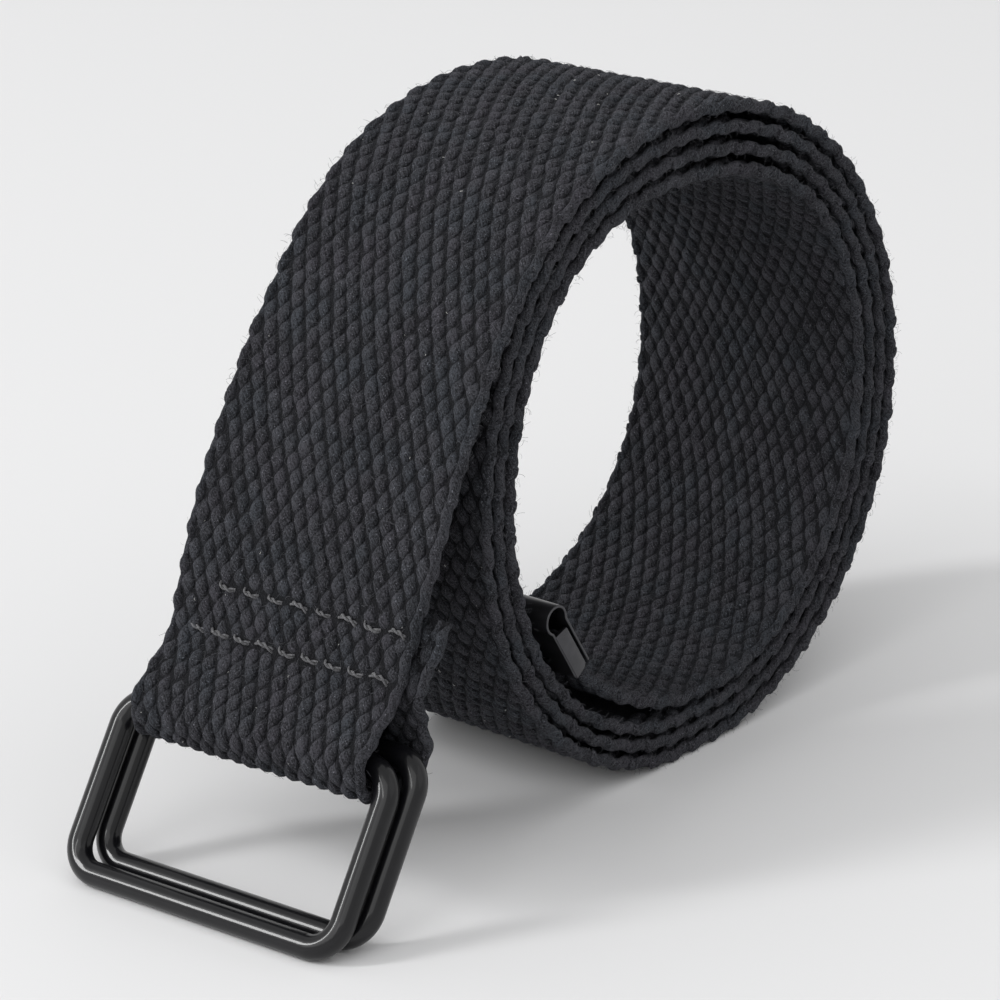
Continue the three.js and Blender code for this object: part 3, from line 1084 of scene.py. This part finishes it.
fibre_material = plain_material("loose_cotton", (0.095, 0.097, 0.108), 0.8)
lint_material = plain_material("pale_lint", (0.6, 0.6, 0.58), 0.9)
fuzz = fuzz_tree()


def skin(name, first, last, faces):
    """Strips over stretches of the webbing: on its outer face, its inner face or an edge."""
    corners, quads = [], []
    for face in faces:
        start = len(corners)
        side = 1 if face in ("outer", "far edge") else -1
        for i in range(first, last, band_step):
            to_edge = across[i] * side * width[i] / 2
            if face in ("outer", "inner"):
                middle = centre[i] + outward[i] * side * strip_lift
                corners += [middle + to_edge, middle - to_edge]
            else:
                middle = centre[i] + to_edge
                up = outward[i] * side * strip_half_height
                corners += [middle - up, middle + up]
        for k in range(start, len(corners) - 2, 2):
            quads.append((k, k + 1, k + 3, k + 2))
    return new_mesh(name, corners, faces=quads)


def scatter(name, base, density, length, radius, lift, seed, material):
    piece = grow(name, base, fuzz, {
        "Density": density, "Fibre length": length, "Fibre radius": radius, "Lift": lift, "Seed": seed,
        "Material": material,
    })
    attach(piece, "webbing")


roll_end = len(travel) - 1
clear_of_rings = int(np.searchsorted(travel, rings_reach_to))
fibre_places = [
    ("fibres_tail", 0, cuts[1], ["outer", "inner"]),
    ("fibres_outer_turn", cuts[1], cuts[3], ["outer"]),
    ("fibres_inner_turn", cuts[4], roll_end, ["inner"]),
    ("fibres_near_edge", clear_of_rings, roll_end, ["near edge"]),
    ("fibres_far_edge", clear_of_rings, roll_end, ["far edge"]),
]
for seed, (name, first, last, faces) in enumerate(fibre_places, 11):
    density = hairs_per_edge_area if "edge" in name else hairs_per_face_area
    base = skin(name + "_skin", first, last, faces)
    scatter(name, base, density, 1.15 * MM, 0.02 * MM, 0.0, seed, fibre_material)
lint_base = skin("lint_skin", 0, cuts[3], ["outer"])
scatter("lint", lint_base, lint_per_area, 0.4 * MM, 0.05 * MM, 0.25 * MM, 23, lint_material)

# %% [markdown]
# ## Coated metal
#
# The wire and the tip are steel under a thin black coating. It is dark and smooth, with a faint
# unevenness that breaks up the highlights a little, and a clear coat over it for their hard core.

# %% Coated metal material


def coated_metal(name, colour, roughness, metallic):
    material, tree = new_material(name)
    place = object_place(tree)
    grain = noise(tree, place, 420.0, 3.0)
    pits = noise(tree, place, 1900.0, 2.0)
    stops = [(0.3, tuple(c * 0.8 for c in colour)), (0.7, tuple(c * 1.15 for c in colour))]
    set_shader(tree, {
        "Base Color": ramp(tree, grain, stops),
        "Roughness": maths(tree, "MULTIPLY_ADD", grain, 0.14, roughness - 0.07),
        "Metallic": metallic, "Specular IOR Level": 0.16, "Coat Weight": 0.42, "Coat Roughness": 0.07,
        "Normal": bump(tree, pits, 0.12, 0.05 * MM),
    })
    return material


ring_metal = coated_metal("black_coated_wire", (0.004, 0.004, 0.005), 0.32, 0.0)
tip_metal = coated_metal("dark_coated_sheet", (0.05, 0.05, 0.055), 0.3, 0.9)

# %% [markdown]
# ## Metal tip
#
# The tip is one strip of thin sheet, folded over the webbing's end, so that the fold bulges into a
# round eye. Two small flaps close its sides over the selvedges. The fold is the middle line of the
# sheet in side view, given its thickness, and each flap is an outline in side view. All three are
# drawn out across the strap and get rounded edges.

# %% Fold the sheet
tip_along = (tip_end - tip_mouth) / np.linalg.norm(tip_end - tip_mouth)
tip_out = np.array([-tip_along[1], tip_along[0]])
pocket_half = half_thickness + tip_clearance
sheet_middle = pocket_half + tip_sheet / 2
eye_middle = (tip_bulge - tip_sheet) / 2
tip_half_width = strap_width / 2 + tip_clearance + tip_sheet
drawn_sheet = tip_sheet * 0.7
fold_inset = 0.1 * MM
edge_rounding = 0.12 * MM


def sheet_line(steps=26):
    """The middle of the sheet in side view: along the strap, and out from it."""
    eye = tip_length - tip_bulge / 2
    opening = math.asin(sheet_middle / eye_middle)
    join = eye - eye_middle * math.cos(opening)
    angles = np.linspace(-math.pi + opening, math.pi - opening, steps)
    arc = [(eye + eye_middle * math.cos(angle), eye_middle * math.sin(angle)) for angle in angles]
    lower = [(0.2 * MM, -sheet_middle), (join * 0.5, -sheet_middle * 0.98)]
    upper = [(join * 0.5, sheet_middle * 0.98), (0.3 * MM, sheet_middle)]
    return np.array(lower + arc + upper)


def in_tip_frame(along, out, across_strap):
    spot = tip_mouth + tip_along * along + tip_out * out
    return (spot[0], depth_shift + across_strap, spot[1])


def solid_from_outline(name, outline, first, last):
    """A closed side view outline drawn out across the strap, with its edges rounded."""
    count = len(outline)
    points = [in_tip_frame(a, b, y) for y in (first, last) for a, b in outline]
    faces = [tuple(range(count)), tuple(range(2 * count - 1, count - 1, -1))]
    faces += [(i, i + count, (i + 1) % count + count, (i + 1) % count) for i in range(count)]
    mesh = new_mesh(name, points, faces=faces)
    face_outwards(mesh)
    mesh.materials.append(tip_metal)
    piece = put(name, mesh)
    bevel = piece.modifiers.new("rounding", "BEVEL")
    bevel.width = edge_rounding
    bevel.segments = 3
    bevel.limit_method = "ANGLE"
    bevel.angle_limit = math.radians(50)
    finished = evaluated_mesh(piece)
    piece.modifiers.clear()
    piece.data = finished
    finished.shade_smooth()
    return piece


def thick_outline(line, thickness):
    slope = np.gradient(line, axis=0)
    slope /= np.linalg.norm(slope, axis=1)[:, None]
    normal = np.stack([-slope[:, 1], slope[:, 0]], -1) * thickness / 2
    return np.r_[line + normal, (line - normal)[::-1]]


flap_height = pocket_half * 0.94
flap_end = tip_length - tip_bulge - 0.1 * MM
flap_outline = [
    (0.0, sheet_middle), (0.15 * MM, -flap_height * 0.3), (0.55 * MM, -flap_height * 0.7),
    (flap_end, -flap_height * 0.7), (flap_end + 0.5 * MM, sheet_middle),
]
fold_outline = thick_outline(sheet_line(), drawn_sheet)
fold_half_width = tip_half_width - fold_inset
tip_pieces = [
    solid_from_outline("tip_fold", fold_outline, -fold_half_width, fold_half_width),
    solid_from_outline("tip_flap_front", flap_outline, -tip_half_width, -tip_half_width + tip_sheet),
    solid_from_outline("tip_flap_back", flap_outline, tip_half_width - tip_sheet, tip_half_width),
]
for piece in tip_pieces:
    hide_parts("belt_tip")
    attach(piece, "webbing")

# %% [markdown]
# ## Rings
#
# Each ring is a rectangle of round wire with round corners and a glossy black coating. A sweep of
# a circle along the rounded rectangle gives long unbroken highlights, which is what makes wire look
# like metal. Its place and lean come from the joint on its upper bar.

# %% Sweep the wire
ring_middle_width = ring_inner_width + ring_wire
corner_steps = 16
wire_sides = 32


def ring_path():
    """Points round the middle of the wire, and the way out of the ring at each."""
    side = ring_middle_width / 2 - ring_corner
    corners = [
        (side, -ring_corner, 0),
        (-side, -ring_corner, 90),
        (-side, -ring_drop + ring_corner, 180),
        (side, -ring_drop + ring_corner, 270),
    ]
    path = []
    for y, z, first in corners:
        for i in range(corner_steps + 1):
            angle = math.radians(first + 90 * i / corner_steps)
            out = Vector((0, math.cos(angle), math.sin(angle)))
            path.append((Vector((0, y, z)) + out * ring_corner, out))
    return path


def wire_ring(name, joint_name):
    bar = Vector(joints[joint_name]["pos_m"])
    turn = Quaternion((0, 0, 1), tail_twist) @ Quaternion((0, 1, 0), ring_lean)
    points = []
    for middle, out in ring_path():
        for j in range(wire_sides):
            angle = 2 * math.pi * j / wire_sides
            offset = Vector((1, 0, 0)) * math.cos(angle) + out * math.sin(angle)
            points.append(bar + turn @ (middle + offset * wire_radius))
    rings = len(points) // wire_sides
    faces = []
    for i in range(rings):
        here, further = i * wire_sides, (i + 1) % rings * wire_sides
        for j in range(wire_sides):
            k = (j + 1) % wire_sides
            faces.append((here + j, here + k, further + k, further + j))
    mesh = new_mesh(name, points, faces=faces)
    face_outwards(mesh)
    mesh.shade_smooth()
    mesh.materials.append(ring_metal)
    return put(name, mesh)


for node, joint_name, body in (
    ("front_ring", "front_ring_swing", "ring_in_front"),
    ("back_ring", "back_ring_swing", "ring_behind"),
):
    ring = wire_ring(node + "_wire", joint_name)
    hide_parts(node)
    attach(ring, body)

# %% [markdown]
# ## Light and floor
#
# The belt stands on a plain pale floor in a bright surrounding. Five soft lamps shape it. A large
# one gives the cloth its light and the roll its soft shadow. Two narrow ones draw the highlights on
# the bars and on the legs of the rings, a low one reaches the front faces, and a weak one opens the
# side away from the rest.

# %% Floor and world
floor_half = 3
floor_corners = [(x * floor_half, y * floor_half, 0) for x, y in ((-1, -1), (1, -1), (1, 1), (-1, 1))]
floor = put("floor", new_mesh("floor", floor_corners, faces=[(0, 1, 2, 3)]))
floor_material, floor_tree = new_material("pale_floor")
set_shader(floor_tree, {
    "Base Color": (0.69, 0.69, 0.695, 1), "Roughness": 0.6, "Specular IOR Level": 0.2,
})
floor.data.materials.append(floor_material)

world = bpy.data.worlds.new("studio")
bpy.context.scene.world = world
world.use_nodes = True
world.node_tree.nodes["Background"].inputs["Color"].default_value = (1, 1, 1, 1)
world.node_tree.nodes["Background"].inputs["Strength"].default_value = 0.74
belt_middle = Vector((0, 0, 0.04))


def soft_light(name, azimuth, elevation, distance, size, power):
    """A lamp, across by high, that looks at the belt from a direction given like the camera's."""
    data = bpy.data.lights.new(name, "AREA")
    data.shape = "RECTANGLE"
    data.size, data.size_y = size
    data.energy = power
    lamp = put(name, data)
    back = direction(math.radians(azimuth), math.radians(elevation))
    lamp.location = belt_middle + back * distance
    lamp.rotation_mode = "QUATERNION"
    lamp.rotation_quaternion = (-back).to_track_quat("-Z", "Y")


soft_light("key_light", -66, 46, 3.0, (2.2, 2.2), 18)
soft_light("bar_light", -100, 45, 2.4, (1.6, 0.22), 6.5)
soft_light("leg_light", -128, 35, 2.4, (0.3, 1.2), 26)
soft_light("low_light", -98, 22, 2.8, (2.2, 1.0), 11)
soft_light("fill_light", 20, 40, 2.6, (1.8, 1.8), 3)
bpy.context.scene.view_settings.view_transform = "Standard"
